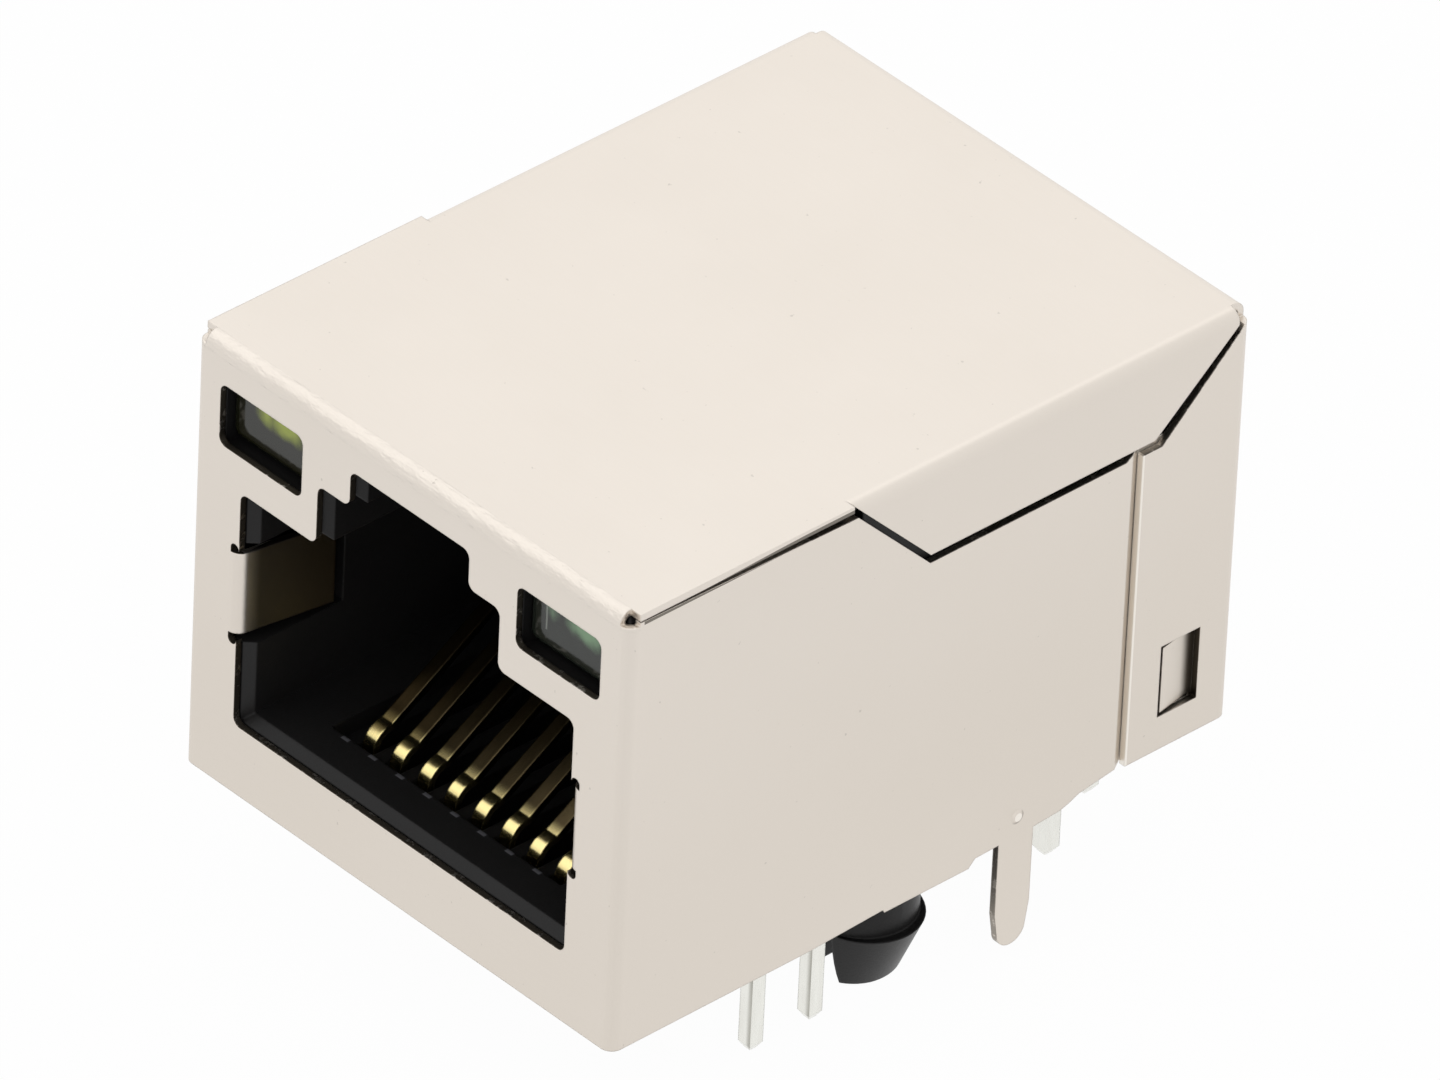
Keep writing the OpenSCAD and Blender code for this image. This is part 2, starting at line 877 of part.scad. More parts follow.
// A rectangular lens block with a rounded front edge
module lamp(side) {
    soft = 0.2;
    color(side < 0 ? "#70733a" : "#4a5f56")
        seated()
            translate([side * window_x, 0, 0]) {
                box(
                    [-window_w / 2, lamp_front + soft, lamp_z],
                    [window_w / 2, lamp_front + lamp_len, lamp_z + lamp_h]
                );
                box(
                    [-window_w / 2 + soft, lamp_front, lamp_z + soft],
                    [window_w / 2 - soft, lamp_front + soft + eps, lamp_z + lamp_h - soft]
                );
                for (sx = [-1, 1])
                    translate([sx * (window_w / 2 - soft), lamp_front + soft, lamp_z + soft])
                        cylinder(h = lamp_h - 2 * soft, r = soft);
                for (z = [lamp_z + soft, lamp_z + lamp_h - soft])
                    translate([-window_w / 2 + soft, lamp_front + soft, z])
                        rotate([0, 90, 0])
                            cylinder(h = window_w - 2 * soft, r = soft);
            }
}

// A lead runs back from the lamp, outwards over the wall and down its groove
module lamp_lead_right(k) {
    half = lead_w / 2;
    tip = 0.2;
    x = lamp_lead_x(k);
    y = lamp_lead_y(k);
    color("#e2e0d2")
        seated() {
            box([x - half, lamp_front + lamp_len, lead_z - half], [x + half, y + half, lead_z + half]);
            box([x - half, y - half, lead_z - half], [lead_line + half, y + half, lead_z + half]);
            box([lead_line - half, y - half, tip - pin_reach], [lead_line + half, y + half, lead_z + half]);
            translate([lead_line, y, 0])
                intersection() {
                    along_x(-half, half)
                        lead_tip_2d(tip);
                    along_y(-half, half)
                        lead_tip_2d(tip);
                }
        }
}

module lead_tip_2d(tip) {
    polygon([
        [-lead_w / 2, tip - pin_reach + eps],
        [-lead_w / 2, tip - pin_reach],
        [-lead_w / 2 + 0.12, -pin_reach],
        [lead_w / 2 - 0.12, -pin_reach],
        [lead_w / 2, tip - pin_reach],
        [lead_w / 2, tip - pin_reach + eps]
    ]);
}

module lamp_lead_left(k) {
    mirror([1, 0, 0])
        lamp_lead_right(k);
}

// ---- Parts on the circuit board and in the bay ----

// A wound ring core on edge, standing on the bay's floor or on the core below
module wound_core(column, level) {
    core_pitch = 2 * (tray_x - tray_wall) / core_columns;
    x = (column - (core_columns + 1) / 2) * core_pitch;
    z = z_bay + (level + 0.5) * core_d;
    soft = 0.3;
    color("#7a3f22")
        seated()
            translate([x, bay_y + bay_len / 2, z])
                rotate([90, 0, 0])
                    rotate_extrude()
                        translate([(core_bore + core_d) / 4, 0])
                            round_rect_2d((core_d - core_bore) / 2, -core_t / 2, core_t / 2, soft);
}

module transformer(i) {
    wound_core(i, 0);
}

module choke(i) {
    wound_core(i, 1);
}

module resistor(i) {
    y = (bay_y + contact_tail + pin_y[0] - pin_w / 2) / 2;
    color("#2a2a2e")
        seated()
            translate([(i - (core_columns + 1) / 2) * 2 * pin_pitch, y, pcb_top + chip_h / 2])
                cube([chip_len, chip_w, chip_h], center = true);
}

module line_capacitor() {
    color("#b09a78")
        seated()
            translate([0, (pin_y[0] + pin_y[1]) / 2, pcb_top + cap_h / 2])
                cube([cap_len, pin_rows - pin_w - 2 * cap_play, cap_h], center = true);
}

shield();
housing();
contact_carrier();
magnetics_tray();
circuit_board();
for (i = [1:contact_count]) {
    contact(i);
}
for (i = [1:pin_count]) {
    signal_pin(i);
}
lamp(-1);  // lamp_left
lamp(1);  // lamp_right
for (k = [1:names_per_side]) {
    lamp_lead_left(k);
    lamp_lead_right(k);
}
for (i = [1:core_columns]) {
    transformer(i);
    choke(i);
    resistor(i);
}
line_capacitor();
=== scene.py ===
import math

import bpy
from mathutils import Matrix, Vector


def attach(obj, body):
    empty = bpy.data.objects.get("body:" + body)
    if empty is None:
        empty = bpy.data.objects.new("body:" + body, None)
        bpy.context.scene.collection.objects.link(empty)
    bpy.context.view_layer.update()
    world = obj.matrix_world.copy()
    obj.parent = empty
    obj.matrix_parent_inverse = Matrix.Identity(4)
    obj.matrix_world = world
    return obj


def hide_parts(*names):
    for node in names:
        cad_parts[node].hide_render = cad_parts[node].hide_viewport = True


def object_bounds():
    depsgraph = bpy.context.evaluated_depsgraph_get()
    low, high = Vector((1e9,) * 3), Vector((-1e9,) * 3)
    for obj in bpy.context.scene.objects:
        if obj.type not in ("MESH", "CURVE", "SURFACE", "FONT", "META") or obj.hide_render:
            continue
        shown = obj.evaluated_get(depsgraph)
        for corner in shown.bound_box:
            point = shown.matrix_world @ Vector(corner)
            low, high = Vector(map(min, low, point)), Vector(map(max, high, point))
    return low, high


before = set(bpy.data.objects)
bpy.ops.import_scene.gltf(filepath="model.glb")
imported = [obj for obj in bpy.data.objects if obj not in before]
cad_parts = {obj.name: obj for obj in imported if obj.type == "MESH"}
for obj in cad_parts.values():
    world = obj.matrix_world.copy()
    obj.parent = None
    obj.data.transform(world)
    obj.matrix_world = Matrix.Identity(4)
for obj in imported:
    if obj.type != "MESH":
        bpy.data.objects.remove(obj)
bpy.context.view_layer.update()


# Shield. One blank of thin copper alloy, tin plated, pierced and folded round
# the housing. The plating keeps the faint long grain of the rolled strip, with
# soft cloudy patches from handling, and is lighter towards the top.
class Tone:
    """A socket in a node tree. Arithmetic on it adds Math nodes."""

    def __init__(self, socket):
        self.socket = socket

    def feed(self, node, name):
        """Links this to a node's input."""
        self.socket.id_data.links.new(self.socket, node.inputs[name])

    def node(self, kind, settings=None, values=None, out=0):
        """Adds one node: its settings first, then what its sockets take."""
        made = self.socket.id_data.nodes.new(kind)
        for name, value in (settings or {}).items():
            setattr(made, name, value)
        for name, value in (values or {}).items():
            if isinstance(value, Tone):
                value.feed(made, name)
            else:
                made.inputs[name].default_value = value
        return Tone(made.outputs[out])

    def math(self, operation, other=0.0):
        return self.node("ShaderNodeMath", {"operation": operation}, {0: self, 1: other})

    def __add__(self, other):
        return self.math("ADD", other)

    def __sub__(self, other):
        return self.math("SUBTRACT", other)

    def __rsub__(self, other):
        return self.node("ShaderNodeMath", {"operation": "SUBTRACT"}, {0: other, 1: self})

    def __mul__(self, other):
        return self.math("MULTIPLY", other)

    def __truediv__(self, other):
        return self.math("DIVIDE", other)

    def __gt__(self, other):
        return self.math("GREATER_THAN", other)

    def __lt__(self, other):
        return self.math("LESS_THAN", other)

    def __abs__(self):
        return self.math("ABSOLUTE")

    __radd__ = __add__
    __rmul__ = __mul__

    def most(self, other):
        return self.math("MAXIMUM", other)

    def least(self, other):
        return self.math("MINIMUM", other)

    def within(self, low, high):
        """1 between low and high, and 0 outside them."""
        return (self > low) * (self < high)

    def ramp(self, start, end):
        """0 before start, 1 after end, and smooth between them."""
        return self.node(
            "ShaderNodeMapRange",
            {"interpolation_type": "SMOOTHSTEP"},
            {"Value": self, "From Min": start, "From Max": end},
        )

    def part(self, axis):
        """One coordinate of a place or a direction."""
        return self.node("ShaderNodeSeparateXYZ", values={0: self}, out=axis)

    def stretched(self, x, y, z):
        """The same place, with each axis scaled."""
        return self.node("ShaderNodeVectorMath", {"operation": "MULTIPLY"}, {0: self, 1: (x, y, z)})

    def noise(self, scale, detail=2.0, roughness=0.5):
        return self.node(
            "ShaderNodeTexNoise",
            values={"Vector": self, "Scale": scale, "Detail": detail, "Roughness": roughness},
        )

    def blend(self, start, end):
        """Goes from start to end by this tone. Each is a colour, or a tone that holds one."""
        ends = [colour if isinstance(colour, Tone) else (*colour, 1) for colour in (start, end)]
        return self.node(
            "ShaderNodeMix",
            {"data_type": "RGBA"},
            {0: self, 6: ends[0], 7: ends[1]},
            out=2,
        )

    def softened_edges(self, radius):
        """The surface's direction, rounded over each edge by a radius in metres."""
        return self.node("ShaderNodeBevel", {"samples": 6}, {"Radius": radius})

    def bump(self, height, soften=None):
        """Turns a tone into relief, height metres deep."""
        values = {"Height": self, "Strength": 1.0, "Distance": height}
        if soften:
            values["Normal"] = soften
        return self.node("ShaderNodeBump", values=values)


MM_IN_METRE = 1000


def new_finish(name, **constants):
    """A Principled material, its constants set, and the place on the piece in mm."""
    material = bpy.data.materials.new(name)
    material.use_nodes = True
    shader = material.node_tree.nodes["Principled BSDF"]
    for socket, value in constants.items():
        shader.inputs[socket.replace("_", " ")].default_value = value
    place = Tone(shader.outputs[0]).node("ShaderNodeTexCoord", out="Object")
    return material, shader, place.stretched(MM_IN_METRE, MM_IN_METRE, MM_IN_METRE)


def nodes_named(*starts):
    return [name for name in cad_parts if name.startswith(starts)]


def dress(material, *names):
    """Gives each named CAD node the material."""
    for name in names:
        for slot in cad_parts[name].material_slots:
            slot.material = material


TIN_LIGHT = (0.780, 0.722, 0.658)
TIN_DARK = (0.695, 0.634, 0.560)
# The colour of painted highlights, and the dark of painted shade and of specks.
PAINTED_HIGHLIGHT = (0.90, 0.85, 0.78)
SHADE_AND_SPECK_DARK = (0.11, 0.095, 0.075)
plate, shader, place = new_finish("tin_plated_sheet", Metallic=1.0)
clouds = place.noise(0.16, 3.0, 0.55)
grain = place.stretched(0.6, 14.0, 14.0).noise(1.0, 4.0, 0.7)
pores = place.noise(22.0, 2.0, 0.6)
# Every bound below is in mm. Back runs from the port to the rear, and up from the board.
aside, back, up = abs(place.part(0)), place.part(1), place.part(2)
facing = place.node("ShaderNodeNewGeometry", out="Normal")
facing_aside, facing_front = abs(facing.part(0)), abs(facing.part(1))

# The sheared edges face along the sheet: they are bare and rough, with painted
# shade for their dark reflections. Those in the catch window get less of it, and
# the light patches here and there are painted glints off burrs.
EDGE_ON = 0.4
FRONT_PANEL_Y = -10.39
FRONT_PANEL_X = 7.56
SIDE_PANEL_X = 7.5
SIDE_PANEL_Y = (-10.2, 9.9)
TOP_UNDERSIDE_Z = 13.48
WINDOW_START_Y = 7.6
WINDOW_Z = (2.2, 4.6)
cut_in_front = (back < FRONT_PANEL_Y) * (aside < FRONT_PANEL_X) * (facing_front < EDGE_ON)
cut_in_side = (aside > SIDE_PANEL_X) * back.within(*SIDE_PANEL_Y) * (facing_aside < EDGE_ON)
in_window = (back > WINDOW_START_Y) * up.within(*WINDOW_Z)
sheared = cut_in_front.most(cut_in_side * (0.7 - 0.4 * in_window)) * (up < TOP_UNDERSIDE_Z)
sheared = sheared * (1.0 - 0.75 * place.noise(3.2, 3.0, 0.65).ramp(0.55, 0.65))

# Under the rear flap the joggle loses the edges' painted shade but keeps a faint
# painted dark line, and the flap's front edge gets a painted highlight.
JOGGLE_Y = (6.0, 6.72)
JOGGLE_X = 7.7
JOGGLE_TOP_Z = 11.0
FLAP_EDGE_Y = (6.735, 6.8)
FLAP_FACE_X = 7.965
flap_start, flap_end = FLAP_EDGE_Y
joggle = back.ramp(*JOGGLE_Y) * (back < flap_end) * (aside > JOGGLE_X) * (up < JOGGLE_TOP_Z)
flap_edge = joggle * (back > flap_start)
sheared = sheared.least(1.0 - joggle)
joggle_line = joggle * (1.0 - flap_edge) * (aside < FLAP_FACE_X)

# The lance in the flap's window runs back into its own shadow.
LANCE_Y = (8.6, 9.1)
LANCE_END_Y = 9.14
LANCE_X = (7.5, 7.95)
lance_root = back.ramp(*LANCE_Y) * (back < LANCE_END_Y) * aside.within(*LANCE_X) * in_window

# Painted shade darkens the top's cut edge along the seam, wider towards the skirt.
SEAM_Y = (-10.1, -3.05)
SEAM_Z = (13.5, 13.62)
SEAM_WIDENS = 0.14
SEAM_WIDENS_Y = (-10.0, -4.0)
seam_start, seam_end = SEAM_Z
seam_end = seam_end + SEAM_WIDENS * back.ramp(*SEAM_WIDENS_Y)
seam_shade = up.within(seam_start, seam_end) * back.within(*SEAM_Y) * (facing_aside > 0.5)

# The spring fingers' faces get painted shade, which fades out towards their fold.
FINGER_X = (5.0, 6.17)
FINGER_Z = (5.3, 7.9)
FINGER_FADE_Y = (-10.46, -9.9)
FINGER_END_Y = -7.5
finger = aside.within(*FINGER_X) * up.within(*FINGER_Z) * (back < FINGER_END_Y)
finger = finger * back.ramp(*FINGER_FADE_Y)

# The punch left a dimple over each solder tab. It gets a painted highlight, and
# its lower rim painted shade.
DIMPLE_Y = 3.05
DIMPLE_Z = 1.47
DIMPLE_RADIUS = 0.12
DIMPLE_RIM = (0.13, 0.22)
SIDE_FACE_X = 7.9
beside = back - DIMPLE_Y
above = up - DIMPLE_Z
from_dimple = (beside * beside + above * above).math("SQRT")
dimple = (from_dimple < DIMPLE_RADIUS) * (aside > SIDE_FACE_X)
rim = from_dimple.within(*DIMPLE_RIM) * (aside > SIDE_FACE_X) * (beside - above).ramp(-0.1, 0.2)

# The painted shade of the bare edges, joggle, lance, seam, fingers and dimple
# rims, and the real specks, together, each as dark as its strength says.
shade_and_specks = sheared
specks = place.noise(4.0, 2.0, 0.6).ramp(0.73, 0.79)
shade_and_speck_marks = (
    (joggle_line, 0.05),
    (lance_root, 1.0),
    (seam_shade, 0.85),
    (specks, 0.22),
    (finger, 0.93),
    (rim, 0.4),
)
for mark, strength in shade_and_speck_marks:
    shade_and_specks = shade_and_specks.most(mark * strength)
# The plating's tone: cloudy patches and grain, lighter towards the top.
plating_tone = clouds * 0.5 + grain * 0.25 + up.ramp(2.0, 12.5) * 0.35
# The flap's front edge and the dimples get a painted highlight.
plating_and_highlights = flap_edge.blend(plating_tone.blend(TIN_DARK, TIN_LIGHT), PAINTED_HIGHLIGHT)
plating_and_highlights = dimple.blend(plating_and_highlights, PAINTED_HIGHLIGHT)
shade_and_specks.blend(plating_and_highlights, SHADE_AND_SPECK_DARK).feed(shader, "Base Color")
soft = clouds * 0.12 + grain * 0.06 + pores * 0.06 + 0.24
soft.most(sheared * 0.5).feed(shader, "Roughness")
# The fold at the top of the front is rubbed into small ripples.
FOLD_Y = -10.22
FOLD_Z = 13.4
front_fold = (back < FOLD_Y) * (up > FOLD_Z)
rubbed = front_fold * place.stretched(1.0, 3.0, 3.0).noise(1.6, 3.0, 0.6) * 1.6
relief = grain * 0.06 + pores * 0.04 + rubbed
relief.bump(0.00004, place.softened_edges(0.00006)).feed(shader, "Normal")
dress(plate, "shield")

# Housing. A single moulding of black glass-filled polyester: the lined port
# with its latch steps, the lamp pockets, two feet and two split snap-in pegs.
moulding, shader, place = new_finish("black_polyester", Specular_IOR_Level=0.22)
flow = place.noise(0.5, 3.0)
speckle = place.noise(16.0, 3.0, 0.7)
# Each contact's slot starts with a small lip at the edge of the floor, with a
# grey painted highlight. Its place and half width across are in shares of the
# contacts' pitch.
CONTACT_PITCH = 1.016
LIP_SHIFT = 0.10
LIP_HALF_WIDTH = 0.13
LIPS_END_X = 4.2
LIP_Y = (-9.13, -8.98)
LIP_Z = (2.6, 3.0)
across = (place.part(0) * (1 / CONTACT_PITCH) + LIP_SHIFT).math("FRACT") - 0.5
lip = (abs(across) < LIP_HALF_WIDTH) * (abs(place.part(0)) < LIPS_END_X)
lip = lip * place.part(1).within(*LIP_Y) * place.part(2).within(*LIP_Z)
black = (flow * 0.6 + speckle * 0.4).blend((0.011, 0.0105, 0.0105), (0.019, 0.0185, 0.0185))
(lip * 0.7).blend(black, (0.16, 0.16, 0.175)).feed(shader, "Base Color")
(speckle * 0.14 + 0.3).feed(shader, "Roughness")
speckle.bump(0.000006, place.softened_edges(0.00008)).feed(shader, "Normal")
dress(moulding, "housing")

# Contacts. Eight phosphor-bronze wires, gold plated, each curled down at the
# front, sloping up through the port and ending flat on the circuit board.
gold, shader, place = new_finish("gold_plated_bronze", Metallic=1.0)
drawn = place.stretched(40.0, 3.0, 3.0).noise(1.0, 3.0, 0.6)
tarnish = place.noise(1.1, 3.0, 0.6)
# The nose is painted bright as a highlight. Painted shade darkens the bend
# behind it and the slope up into the port, over the drawing lines and tarnish.
NOSE_Y = (-7.85, -7.45)
BEND_Y = (-7.75, -7.05)
SLOPE_Y = (-7.0, -3.5)
back = place.part(1)
nose_highlight = 1.0 - back.ramp(*NOSE_Y)
in_the_bend = 1.0 - back.ramp(*BEND_Y)
fading = drawn * 0.3 + tarnish * 0.35 + back.ramp(*SLOPE_Y) * 0.4 + in_the_bend * 0.5
tarnished_and_shaded_gold = fading.blend((0.25, 0.19, 0.095), (0.055, 0.04, 0.022))
nose_highlight.blend(tarnished_and_shaded_gold, (0.93, 0.78, 0.36)).feed(shader, "Base Color")
(drawn * 0.14 + 0.14).feed(shader, "Roughness")
drawn.bump(0.000001, place.softened_edges(0.00007)).feed(shader, "Normal")
dress(gold, *[f"contact_{number}" for number in range(1, 9)])

# Carrier and tray. The bar moulded round the contacts and the open tray that
# holds the cores and the signal pins, both in black liquid-crystal polymer.
insert, shader, place = new_finish("black_polymer_insert")
flow_lines = place.stretched(3.0, 0.5, 3.0).noise(1.0, 3.0, 0.6)
flow_lines.blend((0.016, 0.016, 0.017), (0.032, 0.031, 0.031)).feed(shader, "Base Color")
(flow_lines * 0.2 + 0.4).feed(shader, "Roughness")
flow_lines.bump(0.000008, place.softened_edges(0.00008)).feed(shader, "Normal")
dress(insert, "contact_carrier", "magnetics_tray")

# Signal pins and lamp leads. Square tinned wire, cropped to a blunt point. The
# pins stand in the tray and are soldered into the board, and the leads come out
# of the lamps' backs and bend down beside the housing.
tinned, shader, place = new_finish("tinned_wire", Metallic=1.0)
drawn_down = place.stretched(6.0, 6.0, 1.0).noise(1.0, 2.0, 0.5)
# Painted shade darkens the lamp leads' front faces along their outer edge.
LEAD_SHADE_X = (7.02, 7.2)
facing_front = place.node("ShaderNodeNewGeometry", out="Normal").part(1) < -0.5
lead_edge_shade = abs(place.part(0)).ramp(*LEAD_SHADE_X) * (place.part(1) < 0.0) * facing_front
lead_edge_shade = lead_edge_shade * (0.5 + 0.5 * drawn_down)
bright_tin = drawn_down.blend((0.76, 0.75, 0.70), (0.90, 0.90, 0.85))
(lead_edge_shade * 0.85).blend(bright_tin, (0.20, 0.19, 0.15)).feed(shader, "Base Color")
(drawn_down * 0.1 + 0.22).feed(shader, "Roughness")
drawn_down.bump(0.0000005, place.softened_edges(0.00007)).feed(shader, "Normal")
dress(tinned, *nodes_named("signal_pin", "lamp_lead"))

# Lamps. Blocks of tinted clear epoxy cast round the lead frame, pushed into the
# housing's pockets from the front. Near its top edge each resin has a painted
# glow for daylight through the cup behind it, and the frame's edge shows as a
# thin pale line.
LAMPS = {
    "lamp_left": {
        "tint": (0.018, 0.019, 0.009),
        "glow": (0.34, 0.40, 0.05),
        "cup_x": -5.0,
        "strap_x": -5.75,
        "strap_dim": 0.3,
        "frame_x": -6.3,
        "frame_tone": 0.0,
    },
    "lamp_right": {
        "tint": (0.024, 0.030, 0.022),
        "glow": (0.20, 0.34, 0.19),
        "cup_x": 6.05,
        "strap_x": 4.8,
        "strap_dim": 0.55,
        "frame_x": 4.59,
        "frame_tone": 0.5,
    },
}
CUP_Z = 12.25
FRAME_FOOT_Z = 11.5
FRAME_HALF_WIDTH = 0.03
FRAME_COLOUR = (0.5, 0.52, 0.47)
for name, lamp in LAMPS.items():
    resin, shader, place = new_finish(
        name + "_resin",
        Transmission_Weight=0.3,
        IOR=1.5,
        Specular_IOR_Level=0.4,
        Emission_Strength=0.35,
    )
    haze = place.noise(1.2, 2.0)
    from_cup = abs(place.part(0) - lamp["cup_x"])
    from_strap = abs(place.part(0) - lamp["strap_x"]) + lamp["strap_dim"]
    across = from_cup.least(from_strap) * 1.35
    down = (place.part(2) - CUP_Z) * 2.1
    ragged = place.noise(2.2, 2.0, 0.4) * 0.7 - 0.35
    cup = 1.0 - ((across * across + down * down).math("SQRT") + ragged).ramp(0.35, 1.15)
    edge = abs(place.part(0) - lamp["frame_x"]) < FRAME_HALF_WIDTH
    edge = edge * (place.part(2) > FRAME_FOOT_Z) * lamp["frame_tone"]
    tinted = (haze * 0.8 + 0.2).blend([0.6 * channel for channel in lamp["tint"]], lamp["tint"])
    glowing = (cup * 0.8).blend(tinted, lamp["glow"])
    edge.blend(glowing, FRAME_COLOUR).feed(shader, "Base Color")
    # The painted glow is also given off as emission, though the lamp is not lit.
    (cup * 0.8).blend((0, 0, 0), lamp["glow"]).feed(shader, "Emission Color")
    (haze * 0.08 + 0.06).feed(shader, "Roughness")
    place.noise(3.0).bump(0.000004, place.softened_edges(0.0001)).feed(shader, "Normal")
    dress(resin, name)

# Circuit board. Glass-epoxy laminate under green solder mask, lying on the
# tray, with the pins soldered through it.
laminate, shader, place = new_finish("green_laminate", Coat_Weight=0.4)
weave = place.stretched(4.0, 4.0, 1.0).noise(1.0, 2.0)
weave.blend((0.010, 0.075, 0.030), (0.020, 0.115, 0.045)).feed(shader, "Base Color")
(weave * 0.15 + 0.3).feed(shader, "Roughness")
weave.bump(0.00001).feed(shader, "Normal")
dress(laminate, "circuit_board")

# Wound cores. Ferrite rings, each wound with enamelled copper wire. The
# turns lie side by side in the bore, and their outside is the plain ring's.
# Four are isolation transformers, and four are common-mode chokes.
wound, shader, place = new_finish("enamelled_winding")
copper = place.node("ShaderNodeAttribute", {"attribute_name": "copper"}, out=2)
enamel = place.noise(1.5, 2.0).blend((0.42, 0.13, 0.04), (0.62, 0.25, 0.09))
ferrite = (0.022, 0.021, 0.022)
(1.0 - copper).blend(enamel, ferrite).feed(shader, "Base Color")
(copper * 0.8).feed(shader, "Metallic")
(0.55 - copper * 0.27).feed(shader, "Roughness")

# The tree's inputs: lengths in metres, and the number of turns.
WINDING_SIZES = {
    "Outer Radius": 0.001375,
    "Bore Radius": 0.00055,
    "Thickness": 0.0016,
    "Wire Radius": 0.00009,
    "Turns": 22,
}
CORNER_SHARE = 0.22
WIRE_SIDES = 8
RING_SIDES = 48
winding = bpy.data.node_groups.new("winding", "GeometryNodeTree")
for name, size in WINDING_SIZES.items():
    kind = "NodeSocketInt" if name == "Turns" else "NodeSocketFloat"
    winding.interface.new_socket(name, in_out="INPUT", socket_type=kind)
winding.interface.new_socket("Core", in_out="OUTPUT", socket_type="NodeSocketGeometry")
sockets = winding.nodes.new("NodeGroupInput").outputs
outer, bore, thickness, wire, turns = [Tone(sockets[name]) for name in WINDING_SIZES]
wall = outer - bore
ring_radius = (outer + bore) * 0.5


def section(inset):
    """The ring's rounded section, drawn in by inset on every side."""
    square = wire.node(
        "GeometryNodeCurvePrimitiveQuadrilateral",
        values={"Width": wall - inset * 2, "Height": thickness - inset * 2},
    )
    return wire.node(
        "GeometryNodeFilletCurve",
        {"mode": "POLY"},
        {"Curve": square, "Count": 3, "Radius": wall * CORNER_SHARE, "Limit Radius": True},
    )


def circle(radius, sides):
    values = {"Resolution": sides, "Radius": radius}
    return wire.node("GeometryNodeCurvePrimitiveCircle", values=values)


def swept(path, profile, share_of_copper):
    """A profile run along a path, marked for the finish as copper or bare ferrite."""
    tube = wire.node("GeometryNodeCurveToMesh", values={"Curve": path, "Profile Curve": profile})
    return wire.node(
        "GeometryNodeStoreNamedAttribute",
        {"data_type": "FLOAT", "domain": "POINT"},
        {"Geometry": tube, "Name": "copper", "Value": share_of_copper},
    )


one_turn = wire.node(
    "GeometryNodeTransform",
    values={
        "Geometry": swept(section(wire), circle(wire, WIRE_SIDES), 1.0),
        "Translation": wire.node("ShaderNodeCombineXYZ", values={0: ring_radius}),
    },
)
turn_angle = wire.node("GeometryNodeInputIndex") / turns * math.tau
all_turns = wire.node(
    "GeometryNodeInstanceOnPoints",
    values={
        "Points": wire.node("GeometryNodeMeshLine", values={"Count": turns, "Offset": (0, 0, 0)}),
        "Instance": one_turn,
        "Rotation": wire.node(
            "FunctionNodeEulerToRotation",
            values={0: wire.node("ShaderNodeCombineXYZ", values={1: turn_angle})},
        ),
    },
)
bare_ring = wire.node(
    "GeometryNodeTransform",
    values={
        "Geometry": swept(circle(ring_radius, RING_SIDES), section(wire * 2), 0.0),
        "Rotation": (math.pi / 2, 0, 0),
    },
)
together = wire.node("GeometryNodeJoinGeometry", values={0: all_turns})
bare_ring.feed(together.socket.node, 0)
loose = wire.node("GeometryNodeRealizeInstances", values={"Geometry": together})
finished = wire.node("GeometryNodeSetMaterial", values={"Geometry": loose, "Material": wound})
finished.feed(winding.nodes.new("NodeGroupOutput"), 0)

former = bpy.data.objects.new("former", bpy.data.meshes.new("former"))
bpy.context.scene.collection.objects.link(former)
wind = former.modifiers.new("wind", "NODES")
wind.node_group = winding
for item in winding.interface.items_tree:
    if item.in_out == "INPUT":
        wind[item.identifier] = WINDING_SIZES[item.name]
evaluated = former.evaluated_get(bpy.context.evaluated_depsgraph_get())
wound_ring = bpy.data.meshes.new_from_object(evaluated)
bpy.data.objects.remove(former)
for name in nodes_named("transformer", "choke"):
    corners = [vertex.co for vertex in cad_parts[name].data.vertices]
    spans = [[corner[axis] for corner in corners] for axis in range(3)]
    middle = [(min(span) + max(span)) / 2 for span in spans]
    mesh = wound_ring.copy()
    mesh.transform(Matrix.Translation(middle))
    core = bpy.data.objects.new("wound_" + name, mesh)
    bpy.context.scene.collection.objects.link(core)
    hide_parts(name)
    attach(core, "root")

# Resistors and line capacitor. Small ceramic chips that lie on the board and
# are soldered to it at their ends, glazed black or fired to a buff colour.
chip, shader, place = new_finish("glazed_chip")
glaze = place.noise(2.0, 2.0)
glaze.blend((0.012, 0.012, 0.014), (0.03, 0.03, 0.034)).feed(shader, "Base Color")
(glaze * 0.15 + 0.25).feed(shader, "Roughness")
dress(chip, *nodes_named("resistor"))
fired, shader, place = new_finish("fired_ceramic")
grit = place.noise(9.0, 3.0)
grit.blend((0.36, 0.27, 0.17), (0.47, 0.36, 0.24)).feed(shader, "Base Color")
(grit * 0.1 + 0.5).feed(shader, "Roughness")
dress(fired, "line_capacitor")

# Stage. The jack stands on its pegs on a plain pale floor in a white room,
# under three wide soft lamps.
FLOOR_HALF = 2.0
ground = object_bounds()[0][2]
floor_mesh = bpy.data.meshes.new("floor")
floor_corners = [
    (x * FLOOR_HALF, y * FLOOR_HALF, ground) for x, y in ((-1, -1), (1, -1), (1, 1), (-1, 1))
]
floor_mesh.from_pydata(floor_corners, [], [(0, 1, 2, 3)])
floor = bpy.data.objects.new("floor", floor_mesh)
bpy.context.scene.collection.objects.link(floor)


WHITE = (1, 1, 1, 1)


def shown_white(lit, kind, share):
    """What the camera, mirrors and clear resin see: mostly plain white, the rest as lit."""
    camera, glossy, transmission = [
        lit.node("ShaderNodeLightPath", out=ray)
        for ray in ("Is Camera Ray", "Is Glossy Ray", "Is Transmission Ray")
    ]
    seen = camera.most(glossy).most(transmission) * share
    white = lit.node(kind, values={"Color": WHITE, "Strength": 1.0})
    return lit.node("ShaderNodeMixShader", values={0: seen, 1: lit, 2: white})


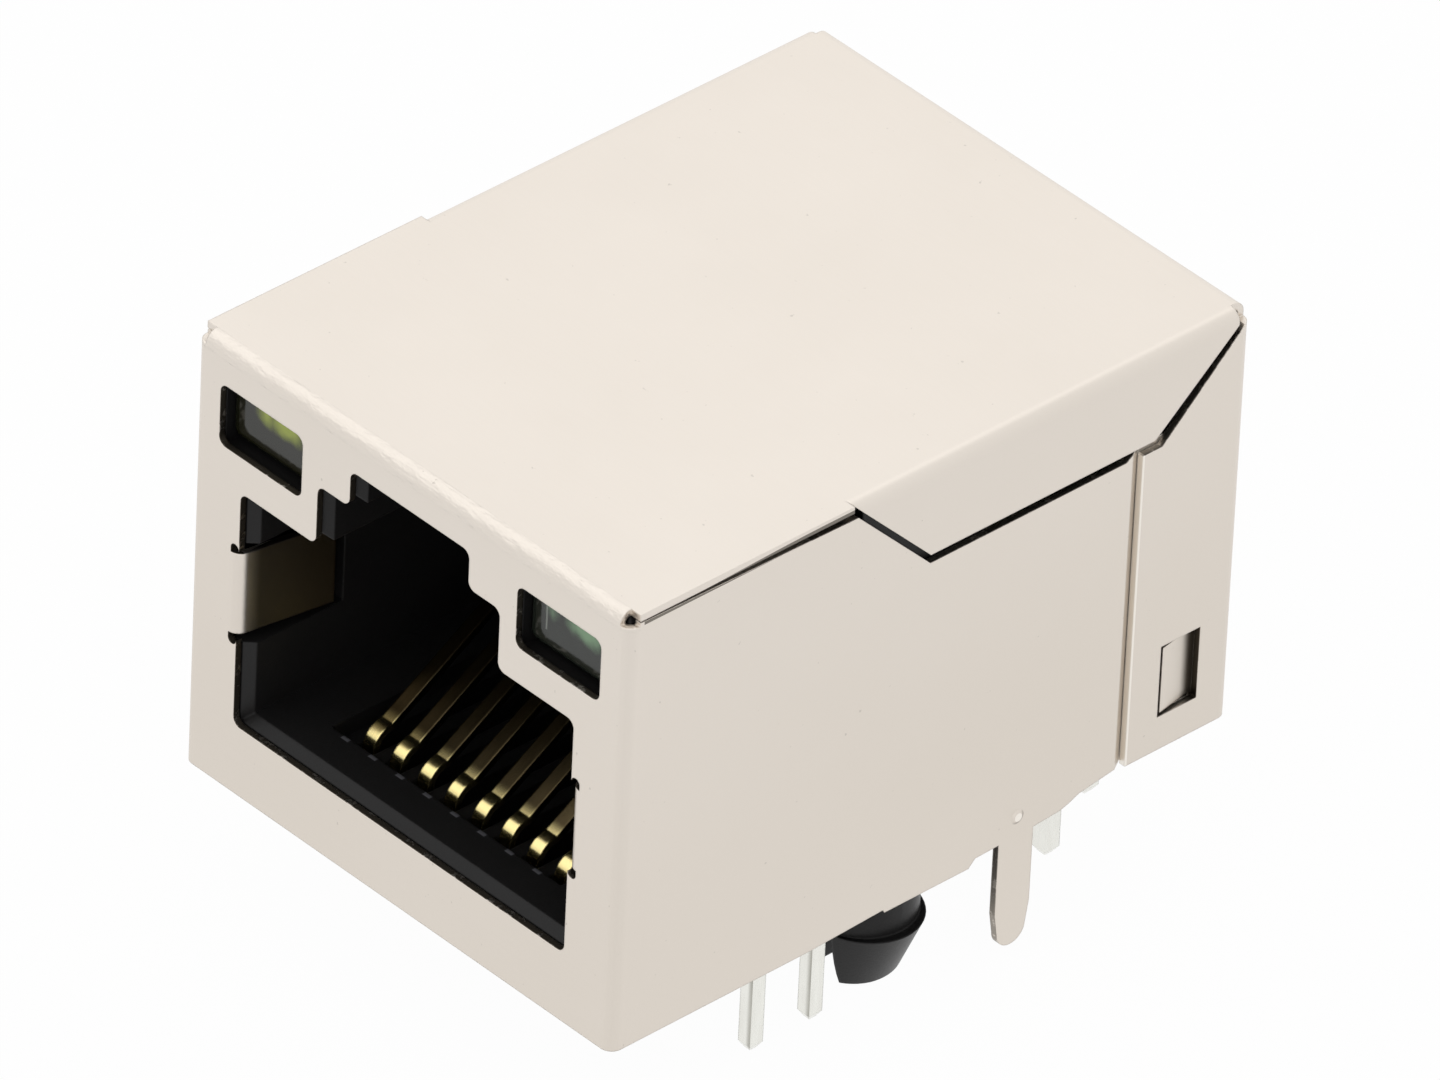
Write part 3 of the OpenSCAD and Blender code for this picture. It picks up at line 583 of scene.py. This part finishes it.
pale = bpy.data.materials.new("pale_floor")
pale.use_nodes = True
nodes = pale.node_tree.nodes
paint = nodes["Principled BSDF"]
paint.inputs["Base Color"].default_value = (0.9, 0.9, 0.9, 1)
paint.inputs["Roughness"].default_value = 0.9
white_floor = shown_white(Tone(paint.outputs[0]), "ShaderNodeEmission", 0.975)
white_floor.feed(nodes["Material Output"], "Surface")
floor_mesh.materials.append(pale)

world = bpy.data.worlds.new("studio")
bpy.context.scene.world = world
world.use_nodes = True
nodes = world.node_tree.nodes
room = nodes["Background"]
room.inputs["Color"].default_value = WHITE
room.inputs["Strength"].default_value = 0.6
white_room = shown_white(Tone(room.outputs[0]), "ShaderNodeBackground", 1.0)
white_room.feed(nodes["World Output"], "Surface")


def soft_lamp(name, position, size, watts):
    """A square area lamp that faces the jack."""
    data = bpy.data.lights.new(name, "AREA")
    data.size = size
    data.energy = watts
    lamp = bpy.data.objects.new(name, data)
    bpy.context.scene.collection.objects.link(lamp)
    lamp.location = position
    lamp.rotation_euler = (-Vector(position)).to_track_quat("-Z", "Y").to_euler()


soft_lamp("overhead", (-0.10, -0.12, 0.45), 0.9, 0.65)
soft_lamp("front_fill", (0.50, -0.64, 0.42), 0.9, 0.65)
soft_lamp("ceiling", (-0.70, 0.67, 0.71), 1.6, 0.8)

# The camera stands well back with a long lens, above the right front corner,
# and is tipped a little to its side.
AZIMUTH = math.radians(46.0)
ELEVATION = math.radians(35.96)
ROLL = math.radians(2.75)
DISTANCE = 0.61
AIM = Vector((-0.00299, 0.00289, 0.00390))
level = math.cos(ELEVATION)
away = Vector((math.sin(AZIMUTH) * level, -math.cos(AZIMUTH) * level, math.sin(ELEVATION)))
camera_data = bpy.data.cameras.new("camera")
camera_data.sensor_width = 36.0
camera_data.lens = 607.1
camera_data.clip_start = 0.01
camera = bpy.data.objects.new("camera", camera_data)
bpy.context.scene.collection.objects.link(camera)
camera.matrix_world = (
    Matrix.Translation(AIM + away * DISTANCE)
    @ away.to_track_quat("Z", "Y").to_matrix().to_4x4()
    @ Matrix.Rotation(ROLL, 4, "Z")
)
bpy.context.scene.camera = camera
bpy.context.scene.view_settings.view_transform = "Standard"
